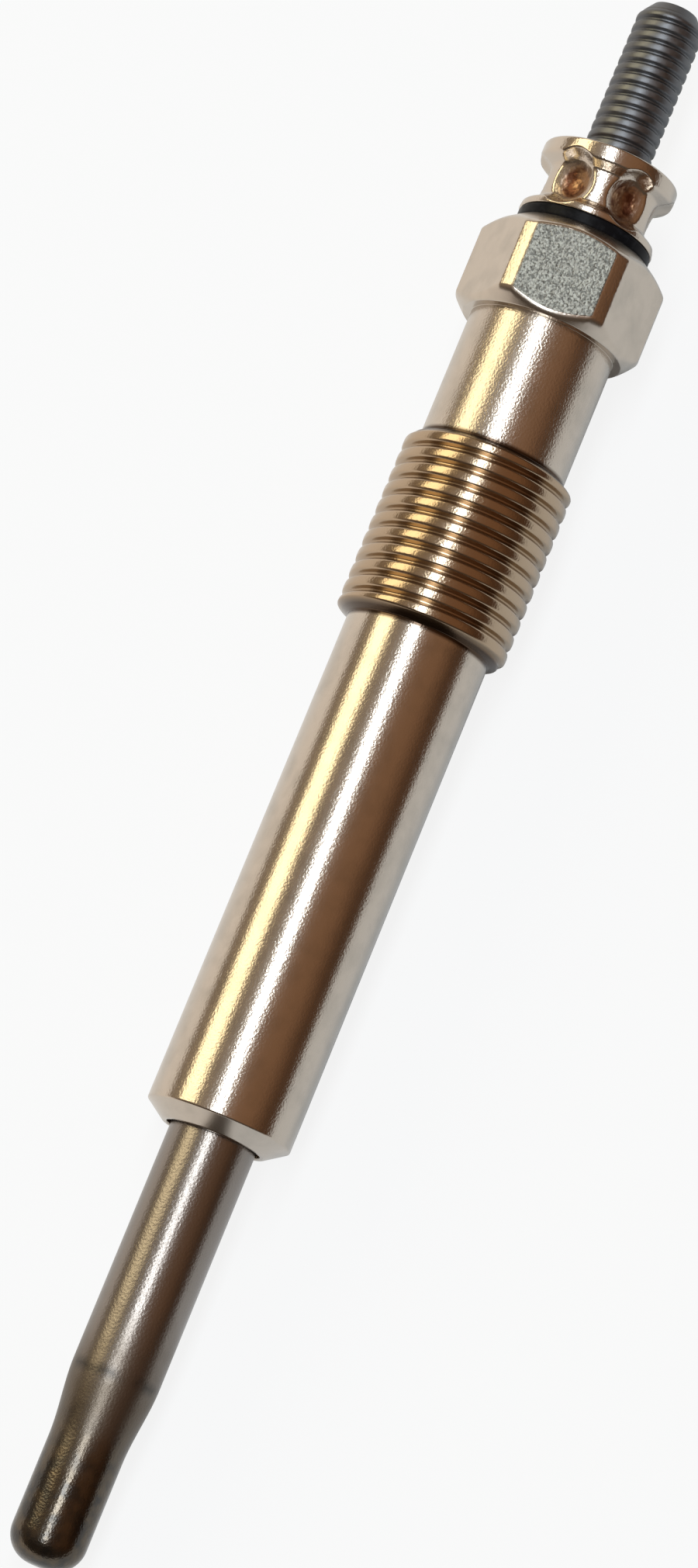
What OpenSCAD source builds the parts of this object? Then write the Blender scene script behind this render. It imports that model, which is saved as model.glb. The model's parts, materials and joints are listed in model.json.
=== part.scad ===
// Sheathed-element diesel glow plug, lying at rest on the end of its barrel and on the lower rim of its thread.
// The axis runs along X, heater tip towards -X, terminal towards +X and a little higher.
// The origin is on the axis, in the middle of the thread. Lengths are in millimetres.

/* [Body] */
// Outer diameter of the plain barrel below the thread
barrel_d = 8.4; // [7.8:0.1:9]
// Length of the barrel, from its end face to the thread
barrel_len = 30.3; // [24:0.1:40]
// Outer diameter of the barrel's flat end face, where the sealing cone starts
seat_face_d = 6; // [5.8:0.1:7]
// Height of the sealing cone along the axis
seat_cone_h = 0.85; // [0.4:0.05:1.5]
// Depth of the open ring between the barrel's mouth and the heater tube
mouth_depth = 0.6; // [0.3:0.1:1.5]
// Major diameter of the thread
thread_d = 10; // [9.6:0.1:12]
// Length of the thread with both of its bevelled ends
thread_len = 11.2; // [8:0.1:16]
// Length of the bevel at each end of the thread
thread_lead_h = 1.2; // [0.6:0.1:2]
// Diameter of the shank between thread and hexagon
shank_d = 8.6; // [8:0.1:9.4]
// Length of the shank
shank_len = 7.8; // [3:0.1:14]
// Hexagon size across flats
hex_af = 10; // [9.8:0.1:12]
// Radius of the hexagon's rounded corners
hex_corner_r = 0.5; // [0.2:0.05:0.8]
// Height of the hexagon with its bevels
hex_h = 6; // [4.5:0.1:9]
// Diameter of the hexagon's lower face, where its bevel starts
hex_face_d = 9.6; // [9.4:0.05:9.7]
// Diameter of the hexagon's upper face
hex_top_d = 8.1; // [7.8:0.1:9]
// Slope of the lower bevel from the hexagon's face
hex_lower_slope = 42; // [20:1:50]
// Slope of the upper bevel from the hexagon's face
hex_upper_slope = 37; // [20:1:45]

/* [Heater tube] */
// Outer diameter of the heater tube
tube_d = 5; // [4.8:0.1:5.2]
// Outer diameter of the swaged tip
tip_d = 4.3; // [4:0.1:4.6]
// Length of the tube in front of the barrel's end face
tube_reach = 25; // [20:0.1:32]
// Length of the thin tip up to the taper
tip_len = 6.8; // [4:0.1:8]
// Length of the taper between tip and tube
swage_len = 4.4; // [2:0.1:6]
// Corner radius of the closed tip
tip_corner_r = 1.7; // [1:0.1:1.9]
// Wall thickness of the tube
tube_wall = 0.5; // [0.4:0.05:0.6]
// Thickness of the closed end
tip_wall = 1; // [0.8:0.1:1.4]
// Corner radius inside the closed end
bore_corner_r = 0.4; // [0.2:0.05:0.45]
// Length of the tube that is pressed into the body
tube_held_len = 18; // [12:0.5:24]

/* [Terminal] */
// Major diameter of the terminal stud's thread
stud_d = 4; // [3.8:0.1:4.2]
// Length of the stud above the collar
stud_len = 10.15; // [7:0.05:14]
// Depth of the bevel at the stud's end
stud_bevel = 0.65; // [0.3:0.05:1]
// Length of the bevel at the stud's end
stud_bevel_len = 0.9; // [0.3:0.1:1.5]
// Length of the thread's relief above the collar
relief_len = 0.25; // [0.1:0.05:0.5]
// Diameter of the insulating washer
washer_d = 8; // [7.6:0.1:9]
// Thickness of the washer's flange
washer_t = 0.7; // [0.5:0.1:1.5]
// Length of the washer's spigot in the counterbore
spigot_len = 1; // [0.6:0.1:1.6]
// Outer diameter of the crimped collar
collar_d = 8.1; // [7.6:0.1:9]
// Height of the collar
collar_h = 4.25; // [4:0.05:5.5]
// Diameter of the collar's waist
waist_d = 6.7; // [6.4:0.1:7.2]
// Height of the collar's upper rim
rim_h = 0.95; // [0.6:0.05:1.2]
// Height of the collar's lower rim
foot_h = 0.4; // [0.2:0.05:0.7]
// Height of the slope between each rim and the waist
flare_h = 0.45; // [0.2:0.05:0.6]
// Bevel at the collar's upper edge
collar_bevel = 0.2; // [0.1:0.05:0.4]
// Number of crimp dents round the waist
dent_count = 6; // [4:1:6]
// Width of a crimp dent at the waist
dent_w = 2.2; // [1.6:0.1:2.4]
// Depth of a crimp dent
dent_depth = 0.65; // [0.3:0.05:0.8]

/* [Inside] */
// Diameter of the centre rod
rod_d = 3; // [2.8:0.1:3.2]
// Diameter of the rod's neck under the stud's rolled thread
neck_d = 3.5; // [3.3:0.05:3.6]
// Length of the rod's thin end inside the regulating coil
rod_end_len = 1.6; // [0.8:0.1:2.4]
// Section diameter of the O-ring under the washer
seal_d = 1.2; // [1:0.05:1.4]
// Length of the sleeve that closes the tube
tube_seal_len = 3; // [2:0.5:6]
// Powder between the heating coil and the tip's wall
powder_t = 0.5; // [0.4:0.05:0.6]
// Powder between the closed tip and the heating coil's first turn
powder_floor = 0.5; // [0.3:0.1:1]
// Wire diameter of the heating coil
heating_wire_d = 0.36; // [0.25:0.01:0.4]
// Turns of the heating coil
heating_turns = 9; // [6:1:11]
// Length of the heating coil
heating_len = 6.5; // [5.5:0.1:8]
// Wire diameter of the regulating coil
regulating_wire_d = 0.28; // [0.2:0.01:0.32]
// Turns of the regulating coil
regulating_turns = 14; // [8:1:18]
// Length of the regulating coil
regulating_len = 9; // [8:0.1:12]
// Length of the slope between the rod and its neck
neck_lead = 1.5; // [0.5:0.1:3]

/* [Clearances] */
// Ring between the barrel's mouth and the heater tube
mouth_gap = 0.25; // [0.1:0.05:0.3]
// Play of the washer's spigot in the counterbore and over the stud
spigot_gap = 0.05; // [0.03:0.01:0.1]
// Powder skin between a coil's wire and its neighbours
wire_gap = 0.02; // [0.01:0.01:0.04]

/* [Rest] */
// Turn about its own axis as the plug lies, in degrees
rest_roll = -3; // [-10:0.5:10]

/* [Hidden] */
$fn = 96;
eps = 0.01;
steel = [0.74, 0.72, 0.68];
dark_steel = [0.42, 0.40, 0.39];
sheath = [0.55, 0.50, 0.45];

// radii
barrel_r = barrel_d / 2;
thread_r = thread_d / 2;
shank_r = shank_d / 2;
tube_r = tube_d / 2;
tip_r = tip_d / 2;
stud_r = stud_d / 2;
rod_r = rod_d / 2;
neck_r = neck_d / 2;
hex_corner_reach = (hex_af / 2 - hex_corner_r) / cos(30);
hex_r = hex_corner_reach + hex_corner_r;
tube_bore_r = tube_r - tube_wall;
counterbore_r = neck_r + seal_d;

// stations along the axis, from the heater tip
z_seat = tube_reach;
z_thread0 = z_seat + barrel_len;
z_thread1 = z_thread0 + thread_len;
z_mid = (z_thread0 + z_thread1) / 2;
z_hex0 = z_thread1 + shank_len;
z_hex1 = z_hex0 + hex_h;
z_counterbore = z_hex1 - spigot_len - seal_d;
z_collar0 = z_hex1 + washer_t;
z_collar1 = z_collar0 + collar_h;
z_stud0 = z_collar1 + relief_len;
z_stud1 = z_collar1 + stud_len;
z_tube1 = z_seat + tube_held_len;
z_fill1 = z_tube1 - tube_seal_len;

// coils: both wound on one radius, end to end; the first one's tail is welded to the closed tip
turn_steps = 12;
coil_r = tip_r - tube_wall - powder_t - heating_wire_d / 2;
z_coil0 = tip_wall + powder_floor + heating_wire_d / 2 + wire_gap;
z_coil1 = z_coil0 + heating_len;
z_coil2 = z_coil1 + regulating_len;
rod_end_r = coil_inner_r(regulating_wire_d / 2) + wire_gap / 2;
z_rod0 = z_coil2 + regulating_wire_d / 2 + wire_gap;
z_neck0 = z_counterbore - neck_lead;

// tilt at which the barrel's end and the thread's lower rim touch one plane
rest_tilt = atan2(thread_r - barrel_r, barrel_len - seat_cone_h + thread_lead_h);

// Lays what is drawn along Z, tip at the bottom, in the rest position.
module lay() {
    rotate([0, 90 - rest_tilt, 0])
        rotate([0, 0, -rest_roll])
            translate([0, 0, -z_mid])
                children();
}

// Smooth step from 0 to 1.
function ease(t) = t * t * (3 - 2 * t);

// Half outline of the tube's form: closed end with rounded corner at z0, taper, then straight up to z1.
function tube_outline(inset, corner, z0, z1) =
    let (r0 = tip_r - inset, r1 = tube_r - inset)
    concat(
        [[0, z0]],
        [for (i = [0:9]) [r0 - corner + corner * sin(i * 10), z0 + corner - corner * cos(i * 10)]],
        [for (i = [0:12]) [r0 + (r1 - r0) * ease(i / 12), tip_len + swage_len * i / 12]],
        [[r1, z1], [0, z1]]
    );

// Radius that a coil of the given wire leaves free inside it.
function coil_inner_r(wire_r) = (coil_r - wire_r) * cos(180 / turn_steps) - wire_gap;

// Round wire wound on coil_r from z0 to z1. Its round is drawn in the plane of the axis, so two coils can
// meet end to end. A tail, if any, bends down from the first turn and runs straight to z0 - tail.
module wire(wire_r, z0, z1, turns, tail = 0, sides = 8) {
    steps = turns * turn_steps;
    arounds = [for (j = [0:sides - 1]) 360 * j / sides];
    tail_rings = tail == 0 ? [] : [for (end = [1, 0], a = arounds)
        [coil_r + wire_r * cos(a), -wire_r * sin(a), end == 1 ? z0 - tail : z0 + wire_r * sin(a)]];
    turn_rings = [for (i = [tail == 0 ? 0 : 1:steps], a = arounds)
        let (turn = 360 * i / turn_steps, r = coil_r + wire_r * cos(a))
        [r * cos(turn), r * sin(turn), z0 + (z1 - z0) * i / steps + wire_r * sin(a)]];
    points = concat(tail_rings, turn_rings);
    last = len(points) / sides - 1;
    walls = [for (i = [0:last - 1], j = [0:sides - 1], k = [0, 1])
        let (a = i * sides + j, b = i * sides + (j + 1) % sides)
        k == 0 ? [a, b, a + sides] : [b, b + sides, a + sides]];
    ends = [[for (j = [sides - 1:-1:0]) j], [for (j = [0:sides - 1]) last * sides + j]];
    polyhedron(points, concat(walls, ends), convexity = 10);
}

// Ring-shaped room for a coil of the given wire, from z0 to z1.
module coil_room(wire_r, z0, z1) {
    rotate_extrude()
        translate([coil_inner_r(wire_r), z0])
            square([coil_r + wire_r + wire_gap - coil_inner_r(wire_r), z1 - z0]);
}

// Form of the rod's lower end, also the space it takes in the powder.
module rod_form() {
    rotate_extrude()
        polygon([
            [0, z_rod0 - rod_end_len], [rod_end_r, z_rod0 - rod_end_len], [rod_end_r, z_rod0],
            [rod_r, z_rod0], [rod_r, z_neck0], [neck_r, z_counterbore], [neck_r, z_stud0],
            [stud_r, z_stud0], [stud_r, z_stud1 - stud_bevel_len],
            [stud_r - stud_bevel, z_stud1], [0, z_stud1]
        ]);
}

// Hexagon outline, each corner rounded in three short steps.
module hexagon_outline() {
    polygon([for (i = [0:5], step = [-30:20:30])
        let (corner = 30 + 60 * i, around = corner + step)
        [hex_corner_reach * cos(corner) + hex_corner_r * cos(around),
         hex_corner_reach * sin(corner) + hex_corner_r * sin(around)]]);
}

// Hexagon, its corners turned off by a cone at each face.
module hexagon() {
    intersection() {
        translate([0, 0, z_hex0])
            linear_extrude(hex_h)
                hexagon_outline();
        rotate_extrude()
            polygon([
                [0, z_hex0], [hex_face_d / 2, z_hex0],
                [hex_r + eps, z_hex0 + (hex_r + eps - hex_face_d / 2) * tan(hex_lower_slope)],
                [hex_r + eps, z_hex1 - (hex_r + eps - hex_top_d / 2) * tan(hex_upper_slope)],
                [hex_top_d / 2, z_hex1], [0, z_hex1]
            ]);
    }
}

// One turned shell: sealing cone, barrel, thread, shank and hexagon, with a stepped bore.
module plug_body() {
    color(steel) lay() difference() {
        union() {
            rotate_extrude()
                polygon([
                    [0, z_seat], [seat_face_d / 2, z_seat], [barrel_r, z_seat + seat_cone_h],
                    [barrel_r, z_thread0], [thread_r, z_thread0 + thread_lead_h],
                    [thread_r, z_thread1 - thread_lead_h], [shank_r, z_thread1],
                    [shank_r, z_hex0 + hex_h / 2], [0, z_hex0 + hex_h / 2]
                ]);
            hexagon();
        }
        translate([0, 0, z_seat - 1])
            cylinder(r = tube_r, h = z_hex1 - z_seat + 2);
        translate([0, 0, z_seat - 1])
            cylinder(r = tube_r + mouth_gap, h = mouth_depth + 1);
        translate([0, 0, z_counterbore])
            cylinder(r = counterbore_r, h = z_hex1 - z_counterbore + 1);
    }
}

// Closed sheath, drawn thinner at the tip, open at the end inside the body.
module heater_tube() {
    color(sheath) lay() difference() {
        rotate_extrude()
            polygon(tube_outline(0, tip_corner_r, 0, z_tube1));
        rotate_extrude()
            polygon(tube_outline(tube_wall, bore_corner_r, tip_wall, z_tube1 + 1));
    }
}

// Powder that fills the tube round the coils and the rod's end.
module magnesia_fill() {
    color([0.93, 0.92, 0.88]) lay() difference() {
        rotate_extrude()
            polygon(tube_outline(tube_wall, bore_corner_r, tip_wall, z_fill1));
        rod_form();
        coil_room(heating_wire_d / 2, tip_wall + powder_floor, z_coil1 + heating_wire_d / 2 + wire_gap);
        coil_room(regulating_wire_d / 2, z_coil1, z_rod0 + eps);
        translate([coil_r, 0, tip_wall - 1])
            cylinder(d = heating_wire_d + wire_gap, h = z_coil0 - tip_wall + 1);
    }
}

// Front coil, which glows.
module heating_coil() {
    color([0.50, 0.46, 0.42]) lay()
        wire(heating_wire_d / 2, z_coil0, z_coil1, heating_turns, tail = z_coil0 - tip_wall);
}

// Rear coil, which limits the current as it warms.
module regulating_coil() {
    color([0.62, 0.58, 0.52]) lay()
        wire(regulating_wire_d / 2, z_coil1, z_coil2, regulating_turns);
}

// Sleeve that keeps the powder dry at the tube's open end.
module tube_seal() {
    color([0.45, 0.20, 0.12]) lay()
        rotate_extrude()
            translate([rod_r, z_fill1])
                square([tube_bore_r - rod_r, tube_seal_len]);
}

// Rod and terminal stud, turned in one piece.
module centre_rod() {
    color(dark_steel) lay()
        rod_form();
}

// O-ring round the rod's neck, on the counterbore's floor.
module body_seal() {
    color([0.10, 0.10, 0.11]) lay()
        rotate_extrude()
            translate([neck_r + seal_d / 2, z_counterbore + seal_d / 2])
                circle(d = seal_d);
}

// Flanged bush that keeps the terminal off the body.
module insulating_washer() {
    color([0.07, 0.07, 0.08]) lay()
        rotate_extrude()
            polygon([
                [stud_r + spigot_gap, z_hex1 - spigot_len], [counterbore_r - spigot_gap, z_hex1 - spigot_len],
                [counterbore_r - spigot_gap, z_hex1], [washer_d / 2, z_hex1],
                [washer_d / 2, z_collar0], [stud_r + spigot_gap, z_collar0]
            ]);
}

// Spool-shaped ring, held on the stud by round punch dents in its waist.
module terminal_collar() {
    dent_r = (dent_w * dent_w / 4 + dent_depth * dent_depth) / (2 * dent_depth);
    z_dent = (z_collar0 + foot_h + z_collar1 - rim_h) / 2;
    color(steel) lay() difference() {
        rotate_extrude()
            polygon([
                [neck_r, z_collar0], [collar_d / 2, z_collar0], [collar_d / 2, z_collar0 + foot_h],
                [waist_d / 2, z_collar0 + foot_h + flare_h], [waist_d / 2, z_collar1 - rim_h - flare_h],
                [collar_d / 2, z_collar1 - rim_h], [collar_d / 2, z_collar1 - collar_bevel],
                [collar_d / 2 - collar_bevel, z_collar1], [neck_r, z_collar1]
            ]);
        for (i = [0:dent_count - 1])
            rotate(360 * (i + 0.5) / dent_count)
                translate([waist_d / 2 + dent_r - dent_depth, 0, z_dent])
                    sphere(dent_r);
    }
}

plug_body();
heater_tube();
magnesia_fill();
heating_coil();
regulating_coil();
tube_seal();
centre_rod();
body_seal();
insulating_washer();
terminal_collar();
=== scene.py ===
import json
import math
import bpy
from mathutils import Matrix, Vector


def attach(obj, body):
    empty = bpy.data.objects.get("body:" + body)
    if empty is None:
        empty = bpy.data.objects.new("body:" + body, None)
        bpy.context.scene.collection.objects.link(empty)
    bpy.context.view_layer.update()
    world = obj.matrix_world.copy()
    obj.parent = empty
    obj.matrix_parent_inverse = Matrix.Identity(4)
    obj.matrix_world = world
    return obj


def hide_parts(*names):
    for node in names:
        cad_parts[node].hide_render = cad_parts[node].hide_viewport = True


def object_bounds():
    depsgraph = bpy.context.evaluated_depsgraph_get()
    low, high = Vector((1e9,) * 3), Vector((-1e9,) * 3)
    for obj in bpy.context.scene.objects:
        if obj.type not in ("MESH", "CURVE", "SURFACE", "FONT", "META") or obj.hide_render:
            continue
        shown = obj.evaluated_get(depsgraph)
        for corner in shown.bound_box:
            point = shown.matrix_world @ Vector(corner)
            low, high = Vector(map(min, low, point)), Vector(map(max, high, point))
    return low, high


bl_info = {
    "name": "Diesel glow plug",
    "version": (1, 0, 0),
    "blender": (4, 5, 0),
    "location": "View3D > Sidebar > Glow plug",
    "description": "Builds the looks of a sheathed-element glow plug around its solid parts",
    "category": "Add Mesh",
}

from collections import namedtuple

import bpy
from bpy.props import FloatProperty, FloatVectorProperty, IntProperty, PointerProperty
from mathutils import Matrix, Vector

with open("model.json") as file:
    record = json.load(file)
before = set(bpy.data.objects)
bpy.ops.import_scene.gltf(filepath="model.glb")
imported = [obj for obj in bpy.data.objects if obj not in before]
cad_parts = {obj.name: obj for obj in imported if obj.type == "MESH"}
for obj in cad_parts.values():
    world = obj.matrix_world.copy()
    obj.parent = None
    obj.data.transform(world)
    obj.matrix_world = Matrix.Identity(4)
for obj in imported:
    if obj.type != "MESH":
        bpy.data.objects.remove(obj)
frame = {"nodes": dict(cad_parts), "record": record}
CAD_BOX = [list(corner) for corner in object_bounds()]

MM = 0.001
BODY = "root"

# Height of the photograph's frame, in pixels
PHOTO_H = 2021

# The plug's own axes: X from the heater tip to the terminal, Z out of the hexagon's upper flat
MOUNTS = {mount["name"]: mount for mount in frame["record"]["mounts"]}
HEAD_THREAD = MOUNTS["cylinder_head_thread"]
STUD_THREAD = MOUNTS["terminal_stud"]
REST_ROLL = math.radians(-3)  # turn about its axis, as it lies on the table
AXIS = -Vector(HEAD_THREAD["axis"]).normalized()
UP = Matrix.Rotation(-REST_ROLL, 3, AXIS) @ AXIS.cross(Vector((0.0, 1.0, 0.0)))
SIDE = UP.cross(AXIS)
AXIS_FRAME = Matrix.Translation(Vector(HEAD_THREAD["pos_m"])) @ Matrix((AXIS, SIDE, UP)).transposed().to_4x4()

Span = namedtuple("Span", "start end radius")


def span(node):
    """First and last station of a solid part along the plug's axis, and its largest radius."""
    solid = frame["nodes"][node]
    to_axis = AXIS_FRAME.inverted() @ solid.matrix_world
    points = [to_axis @ vertex.co for vertex in solid.data.vertices]
    stations = [point.x for point in points]
    return Span(min(stations), max(stations), max(math.hypot(point.y, point.z) for point in points))


SHELL = span("plug_body")
TUBE = span("heater_tube")
ROD = span("centre_rod")
WASHER = span("insulating_washer")
COLLAR = span("terminal_collar")


def length(name, description, size):
    """A length property, in metres."""
    return FloatProperty(
        name=name,
        description=description,
        default=size,
        min=0.0,
        precision=6,
        subtype="DISTANCE",
        unit="LENGTH",
    )


def shift(name, description, size):
    """A length property that may be negative, in metres."""
    return FloatProperty(name=name, description=description, default=size, unit="LENGTH")


def colour(name, description, *rgb):
    """A colour property, in linear light."""
    return FloatVectorProperty(
        name=name, description=description, default=rgb, size=3, min=0.0, subtype="COLOR"
    )


def strength(name, description, amount):
    """A property for the brightness of a lamp."""
    return FloatProperty(name=name, description=description, default=amount, min=0.0)


def degrees(name, description, angle):
    """An angle property, written here in degrees."""
    return FloatProperty(
        name=name, description=description, default=math.radians(angle), subtype="ANGLE", unit="ROTATION"
    )


class BodySizes(bpy.types.PropertyGroup):
    """Sizes of the turned body."""

    barrel_r: length("Barrel radius", "Radius of the plain barrel", 4.2 * MM)
    seat_face_r: length("Seat face radius", "Radius of the barrel's flat end face", 3.0 * MM)
    seat_cone_h: length("Seat cone height", "Length of the sealing cone", 0.85 * MM)
    mouth_gap: length("Mouth gap", "Ring between the barrel's mouth and the heater tube", 0.25 * MM)
    mouth_depth: length("Mouth depth", "Depth of that ring", 0.6 * MM)
    thread_r: length("Thread radius", "Crest radius of the body's thread", HEAD_THREAD["dims"]["r_mm"] * MM)
    thread_len: length("Thread length", "Thread with both bevelled ends", 11.2 * MM)
    thread_lead: length("Thread lead", "Length of the bevel at each end of the thread", 0.4 * MM)
    thread_pitch: length("Thread pitch", "Pitch of the body's thread", 1.0 * MM)
    thread_depth: length("Thread depth", "Depth of the body's thread", 0.32 * MM)
    shank_r: length("Shank radius", "Radius between thread and hexagon", 4.3 * MM)
    hex_half: length("Hexagon half width", "Half of the size across flats", 5.0 * MM)
    hex_h: length("Hexagon height", "Height with both bevels", 6.0 * MM)
    hex_corner_r: length("Hexagon corner", "Radius of the bar that is left at the corners", 5.55 * MM)
    hex_corner_blend: length("Corner blend", "Width over which the flats run into the corners", 0.03 * MM)
    hex_face_r: length("Hexagon face radius", "Radius where the lower bevel starts", 4.8 * MM)
    hex_top_r: length("Hexagon top radius", "Radius of the upper face", 4.05 * MM)
    hex_lower_slope: degrees("Lower slope", "Slope of the lower bevel from the face", 42)
    hex_upper_slope: degrees("Upper slope", "Slope of the upper bevel from the face", 37)
    hex_edge: length("Hexagon edge", "Width over which the bevels blend into the flats", 0.24 * MM)
    counterbore_r: length("Counterbore radius", "Radius of the recess for the washer's spigot", 2.95 * MM)
    counterbore_h: length("Counterbore depth", "Depth of that recess", 2.2 * MM)
    edge: length("Edge", "Softening of the turned edges", 0.08 * MM)


class HeaterSizes(bpy.types.PropertyGroup):
    """Sizes of the heater tube."""

    tip_r: length("Tip radius", "Radius of the swaged tip", 2.15 * MM)
    tip_len: length("Tip length", "Length of the tip up to the taper", 6.8 * MM)
    swage_len: length("Taper length", "Length of the taper", 4.4 * MM)
    corner_r: length("Corner radius", "Radius of the closed end's corner", 1.7 * MM)
    bore_corner_r: length("Bore corner radius", "Radius of the corner inside the closed end", 0.4 * MM)
    wall: length("Wall", "Wall thickness of the tube", 0.5 * MM)
    end_wall: length("End wall", "Thickness of the closed end", 1.0 * MM)
    mark_from_tip: length("Swage mark", "Distance of the swaging mark from the tip", 10.9 * MM)
    mark_width: length("Swage mark width", "Width of the swaging mark", 0.5 * MM)


class TerminalSizes(bpy.types.PropertyGroup):
    """Sizes of the washer, the collar and the rod with its stud."""

    stud_r: length("Stud radius", "Crest radius of the stud's thread", STUD_THREAD["dims"]["r_mm"] * MM)
    stud_pitch: length("Stud pitch", "Pitch of the stud's thread", 0.7 * MM)
    stud_depth: length("Stud depth", "Depth of the stud's thread", 0.20 * MM)
    stud_bevel: length("Stud bevel", "Depth of the bevel at the stud's end", 0.65 * MM)
    stud_bevel_len: length("Stud bevel length", "Length of that bevel", 0.9 * MM)
    neck_r: length("Neck radius", "Radius of the rod inside the collar", 1.75 * MM)
    rod_r: length("Rod radius", "Radius of the rod inside the body", 1.5 * MM)
    rod_end_r: length("Rod end radius", "Radius of the rod's thin end in the coil", 0.75 * MM)
    rod_end_len: length("Rod end length", "Length of the rod's thin end", 1.6 * MM)
    neck_below: length("Neck below washer", "Full neck radius this far under the washer", 1.2 * MM)
    neck_taper: length("Neck taper", "Length of the taper from rod to neck", 1.5 * MM)
    washer_bore_r: length("Washer bore", "Radius of the washer's hole", 2.05 * MM)
    spigot_r: length("Spigot radius", "Radius of the washer's spigot", 2.9 * MM)
    spigot_len: length("Spigot length", "Length of the washer's spigot", 1.0 * MM)
    washer_edge: length("Washer edge", "Softening of the washer's edges", 0.14 * MM)
    collar_edge: length("Collar edge", "Softening of the collar's edges", 0.2 * MM)
    waist_r: length("Waist radius", "Radius of the collar's waist", 3.35 * MM)
    rim_h: length("Rim height", "Height of the collar's upper rim", 0.95 * MM)
    foot_h: length("Foot height", "Height of the collar's lower rim", 0.4 * MM)
    flare_h: length("Flare height", "Height of the slope between rim and waist", 0.45 * MM)
    dent_w: length("Dent width", "Width of a crimp dent at the waist", 2.75 * MM)
    dent_depth: length("Dent depth", "Depth of a crimp dent", 0.65 * MM)
    dent_count: IntProperty(name="Dents", description="Crimp dents round the waist", default=6, min=3, max=8)
    dent_edge: length("Dent edge", "Width over which a dent's edge is rounded", 0.36 * MM)


class Finishes(bpy.types.PropertyGroup):
    """Colours of the pieces and the table."""

    nickel: colour("Nickel", "Plated body", 0.54, 0.48, 0.415)
    # Painted shade: darker plating with darker speckles on the hexagon's upward flat.
    nickel_flat_shade: colour("Worn nickel", "Scuffed plating on the hexagon's upper flat", 0.235, 0.235, 0.208)
    nickel_flat_speckle: colour("Pits", "Dark pits in the scuffed plating", 0.10, 0.10, 0.09)
    nickel_crest: colour("Crests", "Browned plating on the thread's crests", 0.42, 0.325, 0.23)
    # Painted shade: the thread's roots are darker than its crests.
    nickel_root_shade: colour("Roots", "Darker brown in the thread's roots", 0.34, 0.25, 0.165)
    # Painted shade: a dark band at each end of the thread.
    nickel_end_shade: colour("Dirt", "Dark dirt at the thread's ends", 0.075, 0.05, 0.034)
    nickel_dull: colour("Dull nickel", "Thin places in the plating", 0.46, 0.415, 0.36)
    sheath: colour("Sheath", "Heater tube near the body", 0.26, 0.232, 0.21)
    sheath_brown: colour("Sheath brown", "Heat tint at the taper", 0.155, 0.13, 0.105)
    sheath_olive: colour("Sheath olive", "Heat tint at the tip", 0.12, 0.10, 0.078)
    sheath_dark: colour("Sheath dark", "Darkest tint, at the tip and in the swage mark", 0.072, 0.068, 0.064)
    stud: colour("Stud", "Dark steel of the stud", 0.18, 0.187, 0.20)
    copper: colour("Copper stain", "Bare metal in the crimp dents", 0.36, 0.22, 0.13)
    copper_dark: colour("Dark stain", "Dark spots in the crimp dents", 0.12, 0.05, 0.028)
    washer: colour("Washer", "Black plastic", 0.006, 0.006, 0.007)
    rubber: colour("Rubber", "Seals", 0.02, 0.02, 0.02)
    magnesia: colour("Magnesia", "Powder in the heater", 0.80, 0.79, 0.75)
    wire: colour("Wire", "Coils", 0.36, 0.33, 0.30)
    table: colour("Table", "Table under the plug", 0.70, 0.70, 0.70)
    table_lit: colour("Lit table", "Table as the camera and reflections see it", 1.0, 1.0, 1.0)
    # Painted warm lamp light: the table's left side as reflections see it.
    table_lamp_glow: colour("Warm table", "Left of the table in reflections", 1.45, 1.26, 1.09)


class StageSettings(bpy.types.PropertyGroup):
    """The camera, the lamps and the room."""

    focal_px: FloatProperty(
        name="Focal length",
        description="In pixels of the photograph",
        default=7000.0,
        min=1.0,
        subtype="PIXEL",
    )
    distance: length("Distance", "From the camera to the plug's axis", 301.7 * MM)
    aim: shift("Aim", "Station on the axis that the camera looks at", -14.6 * MM)
    aside: shift("Aside", "How far the view's centre lies beside the axis", 0.51 * MM)
    lean: degrees("Lean", "Tilt of the axis out of the picture's plane, terminal away", 11.9)
    round: degrees("Round", "Turn of the camera about the axis from the upper flat", 3.3)
    roll: degrees("Roll", "Turn of the axis in the picture from the vertical", 22.37)
    overhead_tint: colour("Overhead tint", "Colour of the lamp above the plug", 0.86, 0.94, 1.0)
    overhead_power: strength("Overhead power", "How bright that lamp looks in the metal", 10.0)
    warm_tint: colour("Warm tint", "Colour of the lamp on the left", 1.0, 0.88, 0.56)
    warm_power: strength("Warm power", "How bright that lamp looks in the metal", 3.0)
    room_left: colour("Room left", "Wall on the left", 0.31, 0.23, 0.16)
    room_right: colour("Room right", "Upper wall on the right", 0.285, 0.15, 0.077)
    room_right_low: colour("Room low right", "Lower wall on the right", 0.11, 0.055, 0.028)
    room_end: colour("Room end", "Dark end of the room, past the heater tip", 0.10, 0.075, 0.055)
    room_floor: colour("Room floor", "Pale floor beyond the table", 0.80, 0.78, 0.75)
    room_fill: colour("Room fill", "Even light of the room on the pieces", 0.15, 0.15, 0.15)
    backdrop: colour("Backdrop", "What the camera sees behind the table", 1.0, 1.0, 1.0)


def soft_min(a, b, blend):
    """The smaller of two lengths, rounded where they are within blend of each other."""
    near = max(blend - abs(a - b), 0.0) / blend
    return min(a, b) - near * near * blend / 4


def ease(t):
    """Smooth step from 0 to 1."""
    return t * t * (3 - 2 * t)


def softened(points, bevel, steps=4, support=1.4):
    """Outline with each inner corner replaced by a short round, with a support point on either side.
    Those points lie support times as far from the corner as the round's ends."""
    out = [points[0]]
    for before, corner, after in zip(points, points[1:], points[2:]):
        corner = Vector(corner)
        to_before = Vector(before) - corner
        to_after = Vector(after) - corner
        cut = min(bevel, to_before.length / 3, to_after.length / 3)
        a = corner + to_before.normalized() * cut
        b = corner + to_after.normalized() * cut
        out.append(tuple(corner + to_before.normalized() * cut * support))
        for i in range(steps + 1):
            t = i / steps
            out.append(tuple(a.lerp(corner, t).lerp(corner.lerp(b, t), t)))
        out.append(tuple(corner + to_after.normalized() * cut * support))
    out.append(points[-1])
    return out


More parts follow.
